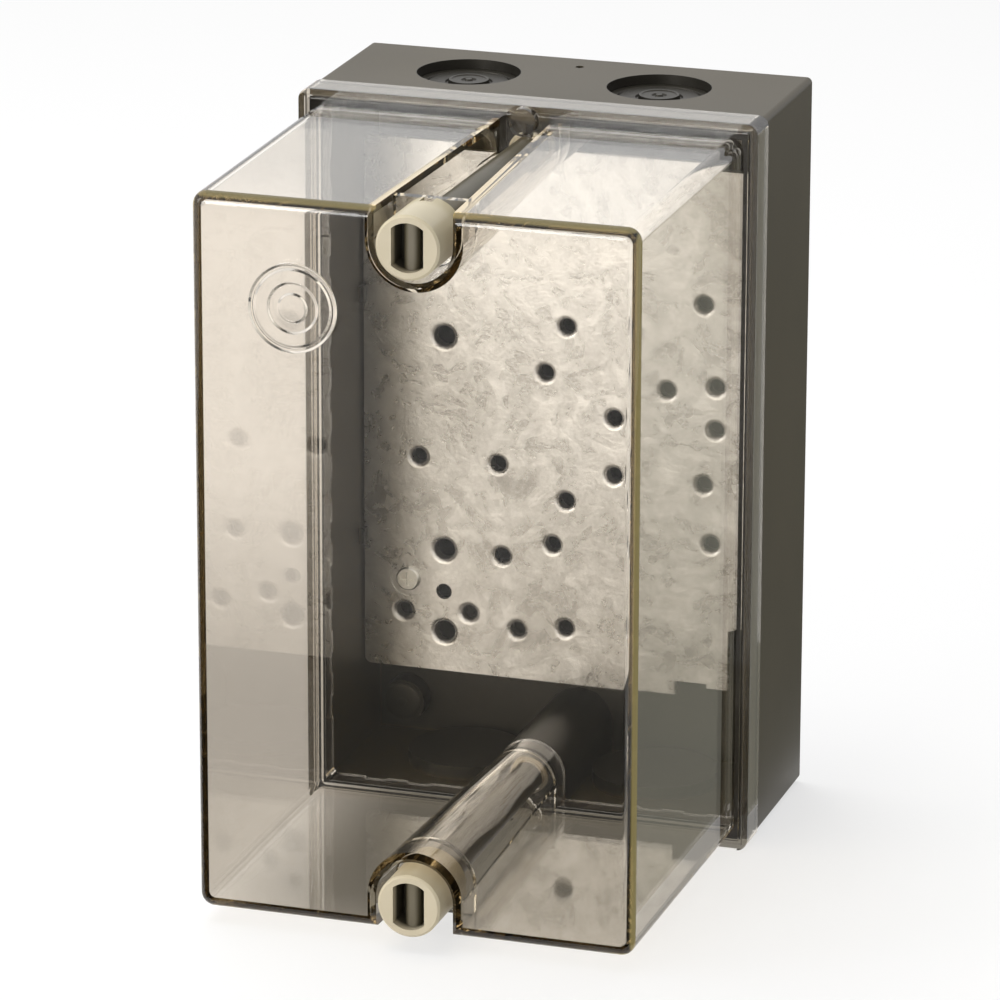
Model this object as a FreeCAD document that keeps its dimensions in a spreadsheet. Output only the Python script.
import FreeCAD, Part
import Sketcher
import itertools
import math
import os

# A small insulated enclosure: a moulded tray that is fixed to a wall, a galvanised plate that
# carries the devices, and a deep clear cover that two long quarter-turn screws hold.
# X is the width, Z the height, and the rear face lies in the plane Y = 0, centred on the origin.
# The front looks along -Y. A "station" is a distance from the rear face towards the front.

# The driving dimensions, in millimetres

# Overall sizes
case_width = 100  # outer width of the base
case_height = 160  # outer height of the base
cover_front = 120  # rear face to the front of the cover

# Base
base_depth = 36.5  # rear face to the shoulder under the cover
base_wall = 3  # side walls of the base
base_floor = 3  # floor of the base
base_corner = 1.2  # rounding of the base's long edges
rim_thickness = 1.4  # rim that enters the cover
rim_height = 5.3  # rim above the shoulder

# Cover
flange_proud = 0.6  # flange beyond the base's sides
flange_ledge = 3  # flange beyond the cover's sides
flange_corner = 2.4  # rounding of the flange's corners
joint_gap = 0.3  # between cover and base, all round
web_thickness = 1.6  # front plate of the flange
bead_height = 0.6  # the two beads on the flange
bead_edge = 1.3  # width of the outer bead
bead_valley = 0.8  # valley between the beads
cover_wall = 2  # walls of the cover
cover_draft = 0.3  # how far each side leans in
cover_corner = 3  # rounding of the cover's long edges
cover_edge = 2.4  # rounding of the cover's front edge
inner_corner = 1.4  # rounding inside the cover
lip_thickness = 1  # inner lip of the cover
lip_back = 38.5  # station where the inner lip ends
lip_step = 1  # depth of the steps in the lip
lip_pitch = 10  # pitch of the steps in the lip
lip_land = 5  # length of each step in the lip

# Gasket
gasket_thickness = 1  # gasket in its groove
gasket_gap = 0.2  # gasket to the rim, before it is pressed
gasket_side = 0.1  # gasket to each side of its groove

# Screw channels
screw_inset = 7.2  # screw axis to the cover's end wall
mouth_radius = 8.4  # channel at the cover's front
tail_radius = 5.7  # channel at the flange
mouth_flare = 0.9  # flared edge of the channel's mouth
end_wall = 2.2  # wall that ends the channel
seat_station = 108  # front of the ledge under the head
seat_thickness = 2.2  # ledge under the head
bump_radius = 3  # small bump where the channel ends
bump_length = 2.4  # bump in front of the flange

# Cover screws
head_front = 123  # rear face to the front of the heads
head_radius = 6.8  # screw head
head_gap = 0.2  # head to its seat
head_edge = 0.5  # chamfer of the head
socket_radius = 5.15  # round ends of the socket
socket_width = 6.8  # between the flats of the socket
socket_depth = 7  # depth of the socket
web_width = 3.6  # round web in the socket
web_sunk = 2.4  # web below the head's front
notch_width = 2.6  # index notch of the head
notch_length = 3.2  # index notch along the head
notch_depth = 1  # index notch into the head
shank_front = 4  # radius of the shank under the head
shank_back = 3.3  # radius of the shank at the flange
shank_clearance = 0.35  # round the shank
neck_radius = 2.6  # neck behind the flange
lug_radius = 4.5  # locking lugs, tip to axis
lug_width = 2.4  # locking lugs
lug_length = 2.8  # locking lugs along the screw
lug_gap = 0.5  # lugs behind their key plate
tip_chamfer = 0.5  # end of the screw
ring_radius = 4.3  # retaining ring
ring_thickness = 1  # retaining ring
ring_slack = 0.1  # ring in its groove, each way
ring_mouth = 2.4  # opening of the retaining ring

# Screw posts of the base
post_radius = 7.6  # outside of a screw post
post_front = 38  # station of a post's front
key_plate = 3  # keyed wall at a post's front
post_bore = 5.3  # hollow of a post, open at the rear
post_rim = 4.9  # inside of the rim round a post

# Knockouts in the end walls
knockout_x = 21.3  # knockout from the middle
knockout_station = 18.4  # knockout from the rear
knockout_radius = 11.2  # recess of a knockout
knockout_depth = 4.4  # recess of a knockout
knockout_disc = 1.6  # disc left in the recess
knockout_wall = 1.8  # wall round a recess, inside
score_radius = 10.2  # scored ring of the disc
score_width = 0.7  # scored ring of the disc
score_depth = 0.6  # scored ring of the disc
centre_radius = 4.8  # raised centre of the disc
centre_height = 0.8  # raised centre of the disc
dimple_radius = 0.9  # centre mark between the knockouts
dimple_depth = 0.5  # centre mark between the knockouts
dimple_station = 6.8  # centre mark from the rear

# Wall fixing holes
fixing_x = 40  # fixing hole from the middle
fixing_z = 69  # fixing hole from the middle
fixing_radius = 2.7  # fixing hole
fixing_boss = 5  # boss round a fixing hole
fixing_height = 4.5  # boss above the floor

# Mounting plate
plate_station = 14.5  # front of the plate
plate_thickness = 1.5  # galvanised sheet
plate_side_gap = 0.5  # plate to the side walls
plate_top = 61.5  # upper edge above the middle
plate_bottom = 58  # lower edge below the middle
plate_rise = 2.2  # right part of the lower edge, higher
plate_notch_low = 23.5  # left side of the lower notch
plate_notch_high = 30.8  # right side of the lower notch
plate_notch_depth = 1  # lower notch above the right part
plate_cut_x = 35.5  # corner cut from the middle
plate_cut_low = 42.2  # corner cut's straight side ends
plate_cut_high = 38.2  # corner cut starts at the edge
plate_corner = 1.5  # rounding of the plate's corners
formed_depth = 1.6  # collars behind the formed holes
formed_wall = 0.9  # collars behind the formed holes
formed_entry = 1.1  # bevelled entry of the formed holes
formed_radius = 1.7  # threaded holes in the plate
large_radius = 2.3  # larger holes in the plate
plain_radius = 1.8  # plain hole in the plate

# What carries the plate
stud_inset = 10.2  # plate screws from the plate's left edge
stud_z = 37.3  # plate screws above and below the middle
stud_boss = 4  # boss under a plate screw
stud_core = 1.35  # hole for a plate screw
stud_core_depth = 8  # hole for a plate screw
rest_z = 27.8  # rests on the side walls
rest_reach = 3.5  # rests from the side walls
rest_width = 2.4  # rests on the side walls
hook_reach = 1.3  # hooks over the plate's edge
hook_width = 3.6  # hooks over the plate's edge
hook_height = 2.2  # hooks over the plate's edge
hook_gap = 0.2  # hooks to the plate

# Plate screws
stud_head = 2.7  # radius of a plate screw's head
stud_head_height = 1.1  # head above the plate
stud_dome = 0.35  # rounding of the head
stud_shank = 1.3  # radius of a plate screw's shank
stud_length = 8  # shank of a plate screw
stud_hole = 1.7  # plate hole for a plate screw
dish_radius = 4.2  # pressed dish round a plate screw
dish_depth = 0.4  # pressed dish round a plate screw
cross_width = 0.7  # cross recess of a plate screw
cross_reach = 1.6  # cross recess of a plate screw
cross_depth = 0.7  # cross recess of a plate screw

# Round emblem place on the cover, left plain
emblem_x = 25.3  # left of the middle
emblem_z = 54.9  # above the middle
emblem_radius = 9.4  # raised disc
emblem_rim = 0.9  # rim of the disc
emblem_height = 0.6  # rim above the cover
emblem_field = 0.3  # field above the cover

# How the features are made
bury = 0.5  # how far added material starts inside its carrier
beyond = 4  # how far a cut runs past the material

# Places of the holes in the plate, across and up from the middle
FORMED_HOLES = (
    (0, 24), (-4.8, 13.1), (10.9, 4.2), (-33.9, -8.8), (-15.6, -8.8), (10.9, -8.8),
    (0, -15.7), (-14.6, -29.9), (-3, -26.1), (-37.4, -44.9), (-22.2, -44), (-11, -46.7),
    (0, -45.2), (29.2, 31.5), (21.1, 11.5), (32.1, 13.2), (32.1, 3.5), (29.5, -9.1),
    (31.3, -22.6))
LARGE_HOLES = ((-28, 19.2), (-28, -29.8), (-28, -48.9))
PLAIN_HOLES = ((-28, -39.5),)

doc = FreeCAD.newDocument("insulated_enclosure")
sheet = doc.addObject("Spreadsheet::Sheet", "sizes")


class Size:
    """A number together with the expression that gives it from the sheet."""

    def __init__(self, value, text):
        self.value = value
        self.text = text

    def joined(self, other, sign, value):
        return Size(value, "(%s %s %s)" % (self.text, sign, as_size(other).text))

    def __add__(self, other):
        return self.joined(other, "+", self.value + as_size(other).value)

    def __sub__(self, other):
        return self.joined(other, "-", self.value - as_size(other).value)

    def __mul__(self, other):
        return self.joined(other, "*", self.value * as_size(other).value)

    def __truediv__(self, other):
        return self.joined(other, "/", self.value / as_size(other).value)

    def __radd__(self, other):
        return as_size(other) + self

    def __rsub__(self, other):
        return as_size(other) - self

    def __rmul__(self, other):
        return as_size(other) * self

    def __neg__(self):
        return Size(-self.value, "(-1 * %s)" % self.text)


def as_size(number):
    """A plain number as a Size, and a Size as it is."""
    return number if isinstance(number, Size) else Size(float(number), repr(float(number)))


def root(size):
    return Size(math.sqrt(size.value), "sqrt(%s)" % size.text)


def slope_angle(rise, run):
    """The angle, in degrees, of a wall that leans by rise over run."""
    ratio = rise / run
    return Size(math.degrees(math.atan(ratio.value)), "atan(%s)" % ratio.text)


rows = itertools.count(1)


def in_sheet(name, value):
    """Writes one driving dimension into the sheet and returns its Size."""
    cell = "B%d" % next(rows)
    sheet.set(cell.replace("B", "A"), name)
    sheet.set(cell, str(value))
    sheet.setAlias(cell, name)
    return Size(float(value), "sizes." + name)


def hole_places(kind, places):
    """Writes the places of one kind of hole into the sheet and returns them as Sizes."""
    return [(in_sheet("%s_%d_across" % (kind, number), across),
             in_sheet("%s_%d_up" % (kind, number), up))
            for number, (across, up) in enumerate(places, 1)]


# Every number named above goes into the sheet, and its name stands for its cell from here on
for name, value in list(globals().items()):
    if isinstance(value, (int, float)):
        globals()[name] = in_sheet(name, value)

formed_places = hole_places("formed_hole", FORMED_HOLES)
large_places = hole_places("large_hole", LARGE_HOLES)
plain_places = hole_places("plain_hole", PLAIN_HOLES)

# Sizes that several pieces share
half_width = case_width / 2
half_height = case_height / 2
flange_x = half_width + flange_proud
flange_z = half_height + flange_proud
side_x = flange_x - flange_ledge
side_z = flange_z - flange_ledge
lip_x = side_x - cover_wall
lip_z = side_z - cover_wall
inner_x = half_width - base_wall
inner_z = half_height - base_wall
plate_x = inner_x - plate_side_gap
stud_x = plate_x - stud_inset
rim_station = base_depth + rim_height
gasket_back = rim_station + gasket_gap
web_back = gasket_back + gasket_thickness
web_front = web_back + web_thickness
bead_front = web_front + bead_height
skirt_back = base_depth + joint_gap
screw_z = side_z - screw_inset
end_wall_front = web_back + end_wall
TOP_AND_BOTTOM = (("top", 1), ("bottom", -1))
LEFT_AND_RIGHT = (("left", -1), ("right", 1))


def coordinate(geometry, point, axis, size):
    """The rule that fixes one coordinate of a point, with the expression that it follows."""
    if abs(size.value) < 1e-9:
        across_axis = -2 if axis == "X" else -1
        return Sketcher.Constraint("PointOnObject", geometry, point, across_axis), None
    rule = Sketcher.Constraint("Distance" + axis, geometry, point, size.value)
    rule.Name = "%s_%d_%d" % ("across" if axis == "X" else "up", geometry, point)
    return rule, size.text


def add_rules(sketch, rules):
    """Adds all rules at once, because a sketch is solved at every call."""
    sketch.addConstraint([rule for rule, text in rules])
    for rule, text in rules:
        if text is not None:
            sketch.setExpression("Constraints." + rule.Name, text)


def closed_loop(sketch, corners, centres=None):
    """Draws a closed outline through corners; centres[i] makes the edge after corner i an arc.

    Each corner and each centre is a pair of Sizes. An arc's centre is followed by +1 where the
    arc runs anticlockwise and by -1 where it runs clockwise."""
    centres = centres or {}
    corners = [(as_size(x), as_size(y)) for x, y in corners]
    first = sketch.GeometryCount
    edges = []
    ends = []
    for index, (x, y) in enumerate(corners):
        other_x, other_y = corners[(index + 1) % len(corners)]
        start = FreeCAD.Vector(x.value, y.value, 0)
        end = FreeCAD.Vector(other_x.value, other_y.value, 0)
        if index not in centres:
            edges.append(Part.LineSegment(start, end))
            ends.append((1, 2))
            continue
        centre_x, centre_y, turn = centres[index]
        centre = FreeCAD.Vector(as_size(centre_x).value, as_size(centre_y).value, 0)
        low, high = (start, end) if turn > 0 else (end, start)
        circle = Part.Circle(centre, FreeCAD.Vector(0, 0, 1), (start - centre).Length)
        angles = [math.atan2(p.y - centre.y, p.x - centre.x) for p in (low, high)]
        if angles[1] <= angles[0]:
            angles[1] += 2 * math.pi
        edges.append(Part.ArcOfCircle(circle, angles[0], angles[1]))
        ends.append((1, 2) if turn > 0 else (2, 1))
    sketch.addGeometry(edges)
    count = len(corners)
    rules = []
    for index, (x, y) in enumerate(corners):
        following = (index + 1) % count
        rules.append((Sketcher.Constraint("Coincident", first + index, ends[index][1],
                                          first + following, ends[following][0]), None))
        rules.append(coordinate(first + index, ends[index][0], "X", x))
        rules.append(coordinate(first + index, ends[index][0], "Y", y))
    for index, (centre_x, centre_y, turn) in centres.items():
        rules.append(coordinate(first + index, 3, "Y", as_size(centre_y)))
    add_rules(sketch, rules)


def rectangle(sketch, left, bottom, right, top):
    closed_loop(sketch, [(left, bottom), (right, bottom), (right, top), (left, top)])


def centred_rectangle(sketch, half_across, half_up):
    rectangle(sketch, -half_across, -half_up, half_across, half_up)


def circle(sketch, x, y, radius):
    x, y = as_size(x), as_size(y)
    index = sketch.addGeometry(Part.Circle(
        FreeCAD.Vector(x.value, y.value, 0), FreeCAD.Vector(0, 0, 1), radius.value))
    rule = Sketcher.Constraint("Radius", index, radius.value)
    rule.Name = "radius_%d" % index
    add_rules(sketch, [coordinate(index, 3, "X", x), coordinate(index, 3, "Y", y),
                       (rule, radius.text)])


def u_shape(sketch, radius, end, side):
    """A U round the screw axis: half round towards the middle, straight out to end."""
    axis, end = side * screw_z, side * end
    closed_loop(sketch, [(-radius, end), (-radius, axis), (radius, axis), (radius, end)],
                {1: (0, axis, side)})


def notched_rectangle(sketch, half_across, half_up, radius):
    """A rectangle whose upper and lower sides bend round the two screw axes."""
    axis = screw_z
    corners = [(-half_across, -half_up), (-radius, -half_up), (-radius, -axis), (radius, -axis),
               (radius, -half_up), (half_across, -half_up), (half_across, half_up),
               (radius, half_up), (radius, axis), (-radius, axis), (-radius, half_up),
               (-half_across, half_up)]
    closed_loop(sketch, corners, {2: (0, -axis, -1), 8: (0, axis, -1)})


class Piece:
    """One sub-part: a body, with short calls for its sketches and features."""

    def __init__(self, label):
        self.body = doc.addObject("PartDesign::Body", label)
        self.body.Label = label

    def origin_feature(self, role):
        return [f for f in self.body.Origin.OriginFeatures if f.Role == role][0]

    def sketch(self, name, offset=0, plane="XZ_Plane"):
        """A sketch on one of the body's planes, moved along the plane's normal by offset."""
        offset = as_size(offset)
        made = self.body.newObject("Sketcher::SketchObject", name)
        made.AttachmentSupport = [(self.origin_feature(plane), "")]
        made.MapMode = "FlatFace"
        made.AttachmentOffset = FreeCAD.Placement(
            FreeCAD.Vector(0, 0, offset.value), FreeCAD.Rotation())
        made.setExpression("AttachmentOffset.Base.z", offset.text)
        return made

    def feature(self, kind, name, sketch, length, reverse, taper):
        made = self.body.newObject("PartDesign::" + kind, name)
        made.Profile = sketch
        made.Length = length.value
        made.setExpression("Length", length.text)
        made.Reversed = reverse
        if taper is not None:
            made.TaperAngle = taper.value
            made.setExpression("TaperAngle", taper.text)
        return made

    def pad(self, name, sketch, length, reverse=False, taper=None):
        """Adds material along the sketch's normal, or against it where reverse is true."""
        return self.feature("Pad", name, sketch, as_size(length), reverse, taper)

    def pocket(self, name, sketch, length, along=False, taper=None):
        """Cuts against the sketch's normal, or along it; a cut that removes nothing is an error."""
        doc.recompute()
        before = self.body.Shape.Volume
        made = self.feature("Pocket", name, sketch, as_size(length), along, taper)
        doc.recompute()
        if not made.Shape.Volume < before - 1e-6:
            raise RuntimeError("the cut %s removes nothing" % name)
        return made

    def loft(self, kind, name, first, last):
        made = self.body.newObject("PartDesign::" + kind, name)
        made.Profile = first
        made.Sections = [last]
        made.Ruled = True
        doc.recompute()
        return made

    def row(self, name, cut, axis, length, count):
        """Repeats a cut along one axis, count times over length."""
        made = self.body.newObject("PartDesign::LinearPattern", name)
        made.Originals = [cut]
        made.Direction = (self.origin_feature(axis), [""])
        made.Length = length.value
        made.setExpression("Length", length.text)
        made.Occurrences = count
        self.body.Tip = made
        doc.recompute()

    def round_edges(self, name, radius, chosen, kind="Fillet"):
        """Rounds or chamfers the edges that chosen accepts, told by their bounding boxes."""
        doc.recompute()
        carrier = self.body.Tip
        names = ["Edge%d" % number for number, edge in enumerate(carrier.Shape.Edges, 1)
                 if chosen(edge.BoundBox)]
        if not names:
            raise RuntimeError("no edge for %s" % name)
        made = self.body.newObject("PartDesign::" + kind, name)
        made.Base = (carrier, names)
        size = "Radius" if kind == "Fillet" else "Size"
        setattr(made, size, radius.value)
        made.setExpression(size, radius.text)
        return made


def near(number, size):
    return abs(number - size.value) < 1e-3


def runs_along_y(box, lean=0.6, least=1):
    """True for an edge that runs along Y, leans by less than lean and is longer than least."""
    return box.XLength < lean and box.ZLength < lean and box.YLength > least


def at_station(box, station):
    return near(-box.YMin, station) and near(-box.YMax, station)


def outer_corner(box, half_across, half_up):
    """True for an edge along Y that stands near the corner at half_across, half_up."""
    reach_x = max(abs(box.XMin), abs(box.XMax))
    reach_z = max(abs(box.ZMin), abs(box.ZMax))
    return runs_along_y(box) and near(reach_x, half_across) and near(reach_z, half_up)


def build_base_shell():
    piece = Piece("base_shell")
    walls = piece.sketch("outline")
    centred_rectangle(walls, half_width, half_height)
    piece.pad("walls", walls, base_depth)
    piece.round_edges("long_edges", base_corner,
                      lambda box: outer_corner(box, half_width, half_height))
    hollow = piece.sketch("hollow_outline", base_depth)
    centred_rectangle(hollow, inner_x, inner_z)
    piece.pocket("hollow", hollow, base_depth - base_floor)

    buried = base_floor - bury
    for end, side in TOP_AND_BOTTOM:
        post = piece.sketch(end + "_post_outline", buried)
        u_shape(post, post_radius, inner_z + bury, side)
        piece.pad(end + "_post", post, post_front - buried)

    rim = piece.sketch("rim_outline", base_depth - bury)
    centred_rectangle(rim, inner_x + rim_thickness, inner_z + rim_thickness)
    notched_rectangle(rim, inner_x, inner_z, post_rim + rim_thickness)
    for end, side in TOP_AND_BOTTOM:
        u_shape(rim, post_rim, inner_z, side)
    piece.pad("rim", rim, rim_height + bury)

    carriers = piece.sketch("carrier_outlines", buried)
    for end, side in TOP_AND_BOTTOM:
        circle(carriers, -stud_x, side * stud_z, stud_boss)
    piece.pad("plate_screw_bosses", carriers, plate_station - plate_thickness - buried)
    add_plate_rests(piece, buried)

    bosses = piece.sketch("fixing_boss_outlines", buried)
    for end, up in TOP_AND_BOTTOM:
        for hand, across in LEFT_AND_RIGHT:
            circle(bosses, across * fixing_x, up * fixing_z, fixing_boss)
    piece.pad("fixing_bosses", bosses, fixing_height + bury)

    for end, side in TOP_AND_BOTTOM:
        add_knockouts(piece, end, side)

    bores = piece.sketch("post_bores", post_front - key_plate)
    keys = piece.sketch("key_slots", post_front)
    turns = piece.sketch("neck_holes", post_front)
    for end, side in TOP_AND_BOTTOM:
        axis = side * screw_z
        circle(bores, 0, axis, post_bore)
        circle(turns, 0, axis, neck_radius + shank_clearance)
        slot_half = lug_width / 2 + shank_clearance
        slot_reach = lug_radius + shank_clearance
        rectangle(keys, -slot_half, axis - slot_reach, slot_half, axis + slot_reach)
    piece.pocket("post_hollows", bores, post_front)
    piece.pocket("key_slot_cuts", keys, key_plate + bury)
    piece.pocket("neck_hole_cuts", turns, key_plate + bury)

    holes = piece.sketch("fixing_holes", base_floor + fixing_height)
    for end, up in TOP_AND_BOTTOM:
        for hand, across in LEFT_AND_RIGHT:
            circle(holes, across * fixing_x, up * fixing_z, fixing_radius)
    piece.pocket("fixing_hole_cuts", holes, base_floor + fixing_height + beyond)

    cores = piece.sketch("plate_screw_cores", plate_station - plate_thickness)
    for end, side in TOP_AND_BOTTOM:
        circle(cores, -stud_x, side * stud_z, stud_core)
    piece.pocket("plate_screw_core_cuts", cores, stud_core_depth)
    return piece


def add_plate_rests(piece, buried):
    """Four rests under the plate's long edges, each with a small hook over the edge."""
    rests = piece.sketch("rest_outlines", buried)
    hooks = piece.sketch("hook_outlines", plate_station + hook_gap)
    for end, up in TOP_AND_BOTTOM:
        for hand, across in LEFT_AND_RIGHT:
            middle = up * rest_z
            wall = across * (inner_x + bury)
            for sketch, reach, width in ((rests, rest_reach, rest_width),
                                         (hooks, hook_reach, hook_width)):
                tip = across * (inner_x - reach)
                rectangle(sketch, tip, middle - width / 2, wall, middle + width / 2)
    piece.pad("rests", rests, plate_station - plate_thickness - buried)
    piece.pad("hooks", hooks, hook_height)


def add_knockouts(piece, end, side):
    """Two recesses with a scored disc in one end wall, each in a cup that shows inside."""
    cup_end = half_height - knockout_depth - knockout_disc
    cups = piece.sketch(end + "_cups", side * cup_end, "XY_Plane")
    recesses = piece.sketch(end + "_recesses", side * half_height, "XY_Plane")
    centres = piece.sketch(end + "_centres", side * (half_height - knockout_depth), "XY_Plane")
    scores = piece.sketch(end + "_scores", side * (half_height - knockout_depth), "XY_Plane")
    mark = piece.sketch(end + "_mark", side * half_height, "XY_Plane")
    for hand, across in LEFT_AND_RIGHT:
        middle = across * knockout_x
        circle(cups, middle, -knockout_station, knockout_radius + knockout_wall)
        circle(recesses, middle, -knockout_station, knockout_radius)
        circle(centres, middle, -knockout_station, centre_radius)
        circle(scores, middle, -knockout_station, score_radius)
        circle(scores, middle, -knockout_station, score_radius - score_width)
    circle(mark, 0, -dimple_station, dimple_radius)
    downwards = side < 0
    piece.pad(end + "_cup_walls", cups, half_height - cup_end - base_wall / 2, downwards)
    piece.pocket(end + "_recess_cuts", recesses, knockout_depth, downwards)
    piece.pocket(end + "_score_cuts", scores, score_depth, downwards)
    piece.pad(end + "_disc_centres", centres, centre_height, downwards)
    piece.pocket(end + "_mark_cut", mark, dimple_depth, downwards)


def build_cover_shell():
    piece = Piece("cover_shell")
    lean = -slope_angle(cover_draft, cover_front - skirt_back)
    body = piece.sketch("side_outline", skirt_back)
    centred_rectangle(body, side_x, side_z)
    piece.pad("sides", body, cover_front - skirt_back, taper=lean)
    piece.round_edges("long_edges", cover_corner, is_long_cover_edge)
    piece.round_edges("front_edge", cover_edge, lambda box: at_station(box, cover_front))

    flange = piece.sketch("flange_outline", skirt_back)
    centred_rectangle(flange, flange_x, flange_z)
    piece.pad("flange", flange, bead_front - skirt_back)
    piece.round_edges("flange_corners", flange_corner,
                      lambda box: outer_corner(box, flange_x, flange_z))
    valley = piece.sketch("valley_outline", bead_front)
    centred_rectangle(valley, flange_x - bead_edge, flange_z - bead_edge)
    bead = bead_edge + bead_valley
    centred_rectangle(valley, flange_x - bead, flange_z - bead)
    piece.pocket("valley", valley, bead_height)

    hollow = piece.sketch("hollow_outline", skirt_back)
    centred_rectangle(hollow, lip_x, lip_z)
    piece.pocket("hollow", hollow, cover_front - cover_wall - skirt_back, True, lean)
    piece.round_edges("hollow_corners", inner_corner, is_hollow_corner)

    for end, side in TOP_AND_BOTTOM:
        add_channel(piece, end, side)
    cut_rim_groove(piece)
    step_the_lip(piece)
    add_emblem_place(piece)
    return piece


def is_long_cover_edge(box):
    """The four long edges, which lean in by the draft."""
    return runs_along_y(box, 1, 10) and near(max(abs(box.XMin), abs(box.XMax)), side_x)


def is_hollow_corner(box):
    """The four long edges inside the cover."""
    return runs_along_y(box, 1, 10) and near(max(abs(box.XMin), abs(box.XMax)), lip_x)


def channel_radius(station):
    """The channel widens evenly from its end wall to its mouth."""
    share = (station - end_wall_front) / (cover_front - end_wall_front)
    return tail_radius + (mouth_radius - tail_radius) * share


def add_channel(piece, end, side):
    """A tapered trough for one long screw, open at the cover's end wall and closed behind."""
    inside_wall = side_z - cover_draft - cover_wall / 2
    tail = piece.sketch(end + "_tube_tail", web_back)
    u_shape(tail, tail_radius + cover_wall, inside_wall, side)
    mouth = piece.sketch(end + "_tube_mouth", cover_front - cover_wall / 2)
    u_shape(mouth, mouth_radius + cover_wall, inside_wall, side)
    piece.loft("AdditiveLoft", end + "_tube", tail, mouth)

    lip = piece.sketch(end + "_lip_outline", lip_back)
    u_shape(lip, tail_radius + cover_wall, lip_z + bury, side)
    piece.pad(end + "_lip", lip, web_back - lip_back)

    bore_tail = piece.sketch(end + "_bore_tail", end_wall_front)
    u_shape(bore_tail, tail_radius, side_z + beyond, side)
    bore_mouth = piece.sketch(end + "_bore_mouth", cover_front)
    u_shape(bore_mouth, mouth_radius, side_z + beyond, side)
    piece.loft("SubtractiveLoft", end + "_bore", bore_tail, bore_mouth)
    flare_start = piece.sketch(end + "_flare_start", cover_front - mouth_flare)
    u_shape(flare_start, mouth_radius, side_z + beyond, side)
    flare_end = piece.sketch(end + "_flare_end", cover_front)
    u_shape(flare_end, mouth_radius + mouth_flare, side_z + beyond, side)
    piece.loft("SubtractiveLoft", end + "_flare", flare_start, flare_end)

    seat = piece.sketch(end + "_seat_outline", seat_station - seat_thickness)
    u_shape(seat, channel_radius(seat_station - seat_thickness) + bury,
            side_z - cover_draft - bury, side)
    circle(seat, 0, side * screw_z, shank_front + shank_clearance)
    piece.pad(end + "_seat", seat, seat_thickness)

    hole = piece.sketch(end + "_shank_hole", web_back)
    circle(hole, 0, side * screw_z, shank_back + shank_clearance)
    piece.pocket(end + "_shank_hole_cut", hole, end_wall, True)

    bump = piece.sketch(end + "_bump_outline", end_wall_front - bury)
    circle(bump, 0, side * (flange_z - bump_radius), bump_radius)
    piece.pad(end + "_bump", bump, bump_length + bury)


def cut_rim_groove(piece):
    """The groove for the gasket and the base's rim, inside the skirt and round the channels."""
    skirt_x = inner_x + rim_thickness + joint_gap
    skirt_z = inner_z + rim_thickness + joint_gap
    open_part = piece.sketch("skirt_hollow", skirt_back)
    centred_rectangle(open_part, skirt_x, skirt_z)
    piece.pocket("skirt_hollow_cut", open_part, lip_back - skirt_back, True)
    groove = piece.sketch("groove_outline", lip_back)
    centred_rectangle(groove, skirt_x, skirt_z)
    lip_outer = lip_x + lip_thickness
    notched_rectangle(groove, lip_outer, lip_z + lip_thickness,
                      post_rim + rim_thickness + joint_gap)
    piece.pocket("groove", groove, web_back - lip_back, True)


def step_the_lip(piece):
    """Even steps along the lip's edge, with none near the channels."""
    count = int((2 * lip_z.value - 2 * lip_pitch.value) // lip_pitch.value)
    first = -(count - 1) / 2 * lip_pitch
    steps = piece.sketch("side_steps", lip_back)
    for hand, across in LEFT_AND_RIGHT:
        rectangle(steps, across * (lip_x - bury), first - lip_land / 2,
                  across * (lip_x + lip_thickness), first + lip_land / 2)
    lowest = piece.pocket("side_step_cuts", steps, lip_step, True)
    piece.row("side_step_row", lowest, "Z_Axis", (count - 1) * lip_pitch, count)
    count = int((lip_x.value - post_radius.value - lip_pitch.value) // lip_pitch.value)
    steps = piece.sketch("end_steps", lip_back)
    for index in range(count):
        middle = lip_x - lip_pitch * (index + 1)
        for hand, across in LEFT_AND_RIGHT:
            for end, side in TOP_AND_BOTTOM:
                rectangle(steps, across * middle - lip_land / 2, side * (lip_z - bury),
                          across * middle + lip_land / 2, side * (lip_z + lip_thickness))
    piece.pocket("end_step_cuts", steps, lip_step, True)


def add_emblem_place(piece):
    field = piece.sketch("emblem_field_outline", cover_front - bury)
    circle(field, -emblem_x, emblem_z, emblem_radius)
    piece.pad("emblem_field", field, emblem_field + bury)
    rim = piece.sketch("emblem_rim_outline", cover_front - bury)
    circle(rim, -emblem_x, emblem_z, emblem_radius)
    circle(rim, -emblem_x, emblem_z, emblem_radius - emblem_rim)
    piece.pad("emblem_rim", rim, emblem_height + bury)


def build_cover_gasket():
    piece = Piece("cover_gasket")
    strip = piece.sketch("strip_outline", gasket_back)
    outer_x = inner_x + rim_thickness + joint_gap - gasket_side
    outer_z = inner_z + rim_thickness + joint_gap - gasket_side
    notched_rectangle(strip, outer_x, outer_z, post_rim - joint_gap + gasket_side)
    notched_rectangle(strip, lip_x + lip_thickness + gasket_side,
                      lip_z + lip_thickness + gasket_side,
                      post_rim + rim_thickness + joint_gap - gasket_side)
    piece.pad("strip", strip, gasket_thickness)
    return piece


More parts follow.
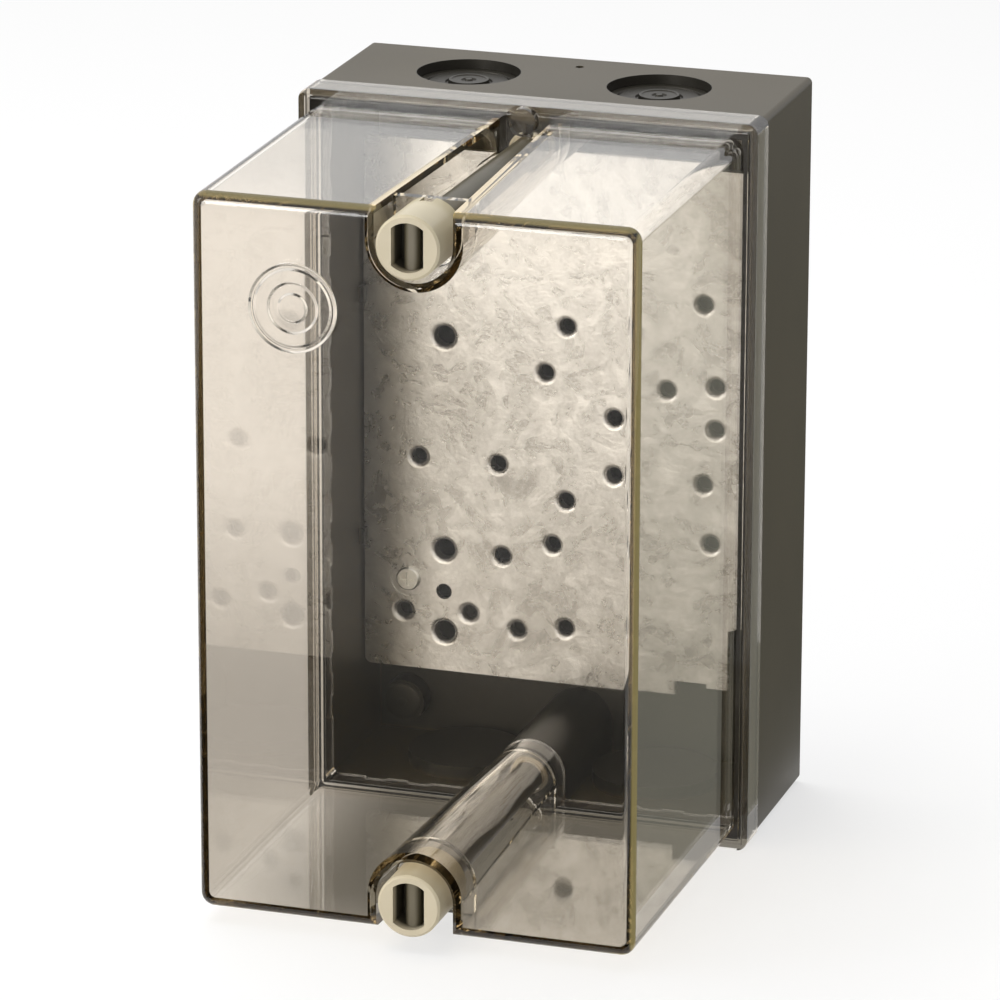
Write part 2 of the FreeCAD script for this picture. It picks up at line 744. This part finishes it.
def build_cover_screw(end, side):
    """One long quarter-turn screw, turned about its own Y axis and then put in its channel."""
    piece = Piece("cover_screw_" + end)
    head_back = seat_station + head_gap
    groove_front = web_back - joint_gap + ring_slack
    groove_back = web_back - joint_gap - ring_thickness - ring_slack
    lug_front = post_front - key_plate - lug_gap
    tip = lug_front - lug_length
    shoulder = groove_back - ring_thickness
    profile = piece.sketch("profile", 0, "XY_Plane")
    closed_loop(profile, [
        (0, -head_front), (head_radius - head_edge, -head_front),
        (head_radius, -(head_front - head_edge)), (head_radius, -head_back),
        (shank_front, -head_back), (shank_back, -end_wall_front), (shank_back, -groove_front),
        (neck_radius, -groove_front), (neck_radius, -groove_back), (shank_back, -groove_back),
        (shank_back, -shoulder), (neck_radius, -shoulder), (neck_radius, -(tip + tip_chamfer)),
        (neck_radius - tip_chamfer, -tip), (0, -tip)])
    turned = piece.body.newObject("PartDesign::Revolution", "turned")
    turned.Profile = profile
    turned.ReferenceAxis = (piece.origin_feature("Y_Axis"), [""])
    turned.Angle = 360

    lugs = piece.sketch("lug_outline", tip + tip_chamfer)
    centred_rectangle(lugs, lug_width / 2, lug_radius)
    piece.pad("lugs", lugs, lug_length - tip_chamfer)

    socket = piece.sketch("socket_outline", head_front)
    flat = socket_width / 2
    rise = root(socket_radius * socket_radius - flat * flat)
    closed_loop(socket, [(flat, -rise), (flat, rise), (-flat, rise), (-flat, -rise)],
                {1: (0, 0, 1), 3: (0, 0, 1)})
    piece.pocket("socket", socket, socket_depth)
    web = piece.sketch("web_outline", head_front - socket_depth - bury)
    centred_rectangle(web, web_width / 2, socket_radius)
    piece.pad("web", web, socket_depth - web_sunk + bury)
    crest = head_front - web_sunk
    piece.round_edges("web_crest", web_width / 2 - joint_gap,
                      lambda box: at_station(box, crest) and box.ZLength > web_width.value)

    notch = piece.sketch("notch_outline", head_back)
    rectangle(notch, -notch_width / 2, side * (head_radius - notch_depth),
              notch_width / 2, side * (head_radius + beyond))
    piece.pocket("notch", notch, notch_length, True)
    lift(piece, side)
    return piece


def build_retaining_ring(end, side):
    piece = Piece("retaining_ring_" + end)
    ring = piece.sketch("ring_outline", web_back - joint_gap - ring_thickness)
    circle(ring, 0, 0, ring_radius)
    circle(ring, 0, 0, neck_radius + ring_slack)
    piece.pad("ring", ring, ring_thickness)
    mouth = piece.sketch("mouth_outline", web_back - joint_gap)
    rectangle(mouth, -ring_mouth / 2, side * neck_radius / 2,
              ring_mouth / 2, side * (ring_radius + beyond))
    piece.pocket("mouth", mouth, ring_thickness)
    lift(piece, side)
    return piece


def lift(piece, side):
    """Moves a body from the X-Y plane to its screw axis."""
    height = side * screw_z
    piece.body.Placement = FreeCAD.Placement(
        FreeCAD.Vector(0, 0, height.value), FreeCAD.Rotation())
    piece.body.setExpression("Placement.Base.z", height.text)


def build_mounting_plate():
    piece = Piece("mounting_plate")
    back = plate_station - plate_thickness
    low_right = plate_bottom - plate_rise
    outline = piece.sketch("outline", back)
    closed_loop(outline, [
        (-plate_x, -plate_bottom), (plate_notch_low, -plate_bottom),
        (plate_notch_low, -(low_right - plate_notch_depth)),
        (plate_notch_high, -(low_right - plate_notch_depth)), (plate_notch_high, -low_right),
        (plate_cut_x, -low_right), (plate_cut_x, -plate_cut_low), (plate_x, -plate_cut_high),
        (plate_x, plate_top), (-plate_x, plate_top)])
    piece.pad("sheet", outline, plate_thickness)
    piece.round_edges("corners", plate_corner, is_plate_corner)

    collars = piece.sketch("collar_outlines", back)
    for x, z in formed_places:
        circle(collars, x, z, formed_radius + formed_wall)
    for x, z in large_places:
        circle(collars, x, z, large_radius + formed_wall)
    piece.pad("collars", collars, formed_depth, True)
    holes = piece.sketch("hole_outlines", plate_station)
    for x, z in formed_places:
        circle(holes, x, z, formed_radius)
    for x, z in large_places:
        circle(holes, x, z, large_radius)
    for x, z in plain_places:
        circle(holes, x, z, plain_radius)
    for end, side in TOP_AND_BOTTOM:
        circle(holes, -stud_x, side * stud_z, stud_hole)
    piece.pocket("holes", holes, plate_thickness + formed_depth + beyond)
    dishes = piece.sketch("dish_outlines", plate_station)
    for end, side in TOP_AND_BOTTOM:
        circle(dishes, -stud_x, side * stud_z, dish_radius)
    piece.pocket("dish_cuts", dishes, dish_depth)
    piece.round_edges("bevelled_entries", formed_entry, is_formed_entry, "Chamfer")
    return piece


def is_plate_corner(box):
    """The plate's three full corners."""
    at_side = near(max(abs(box.XMin), abs(box.XMax)), plate_x)
    at_end = near(box.ZMax, plate_top) or near(box.ZMin, -plate_bottom)
    return at_side and at_end and box.XLength < 1e-3 and box.ZLength < 1e-3


def is_formed_entry(box):
    """The front edges of the formed and the larger holes."""
    formed = near(box.XLength, 2 * formed_radius) or near(box.XLength, 2 * large_radius)
    return at_station(box, plate_station) and formed


def build_plate_screw(end, side):
    """A pan head screw in its dish, turned about Y and then put on its boss."""
    piece = Piece("plate_screw_" + end)
    seat = plate_station - dish_depth
    top = seat + stud_head_height
    profile = piece.sketch("profile", 0, "XY_Plane")
    closed_loop(profile, [
        (0, -top), (stud_head - stud_dome, -top), (stud_head, -(top - stud_dome)),
        (stud_head, -seat), (stud_shank, -seat), (stud_shank, -(top - stud_length)),
        (0, -(top - stud_length - stud_shank))])
    turned = piece.body.newObject("PartDesign::Revolution", "turned")
    turned.Profile = profile
    turned.ReferenceAxis = (piece.origin_feature("Y_Axis"), [""])
    turned.Angle = 360
    for name, across, up in (("slot_across", cross_reach, cross_width / 2),
                             ("slot_up", cross_width / 2, cross_reach)):
        slot = piece.sketch(name, top)
        centred_rectangle(slot, across, up)
        piece.pocket(name + "_cut", slot, cross_depth)
    x, z = -stud_x, side * stud_z
    piece.body.Placement = FreeCAD.Placement(
        FreeCAD.Vector(x.value, 0, z.value), FreeCAD.Rotation())
    piece.body.setExpression("Placement.Base.x", x.text)
    piece.body.setExpression("Placement.Base.z", z.text)
    return piece


pieces = [build_base_shell(), build_mounting_plate(), build_cover_shell(), build_cover_gasket()]
for end, side in TOP_AND_BOTTOM:
    pieces.append(build_plate_screw(end, side))
    pieces.append(build_cover_screw(end, side))
    pieces.append(build_retaining_ring(end, side))
doc.recompute()

for item in doc.Objects:
    if "Invalid" in item.State or "Error" in item.State:
        raise RuntimeError("%s is not up to date: %s" % (item.Label, item.State))
for piece in pieces:
    shape = piece.body.Shape
    if shape.isNull() or not shape.isValid() or not shape.Solids:
        raise RuntimeError("%s has no valid solid" % piece.body.Label)

os.makedirs("parts", exist_ok=True)
for piece in pieces:
    piece.body.Shape.exportStep("parts/%s.step" % piece.body.Label)
    print("%-24s %d solid %10.1f mm3" % (
        piece.body.Label, len(piece.body.Shape.Solids), piece.body.Shape.Volume))
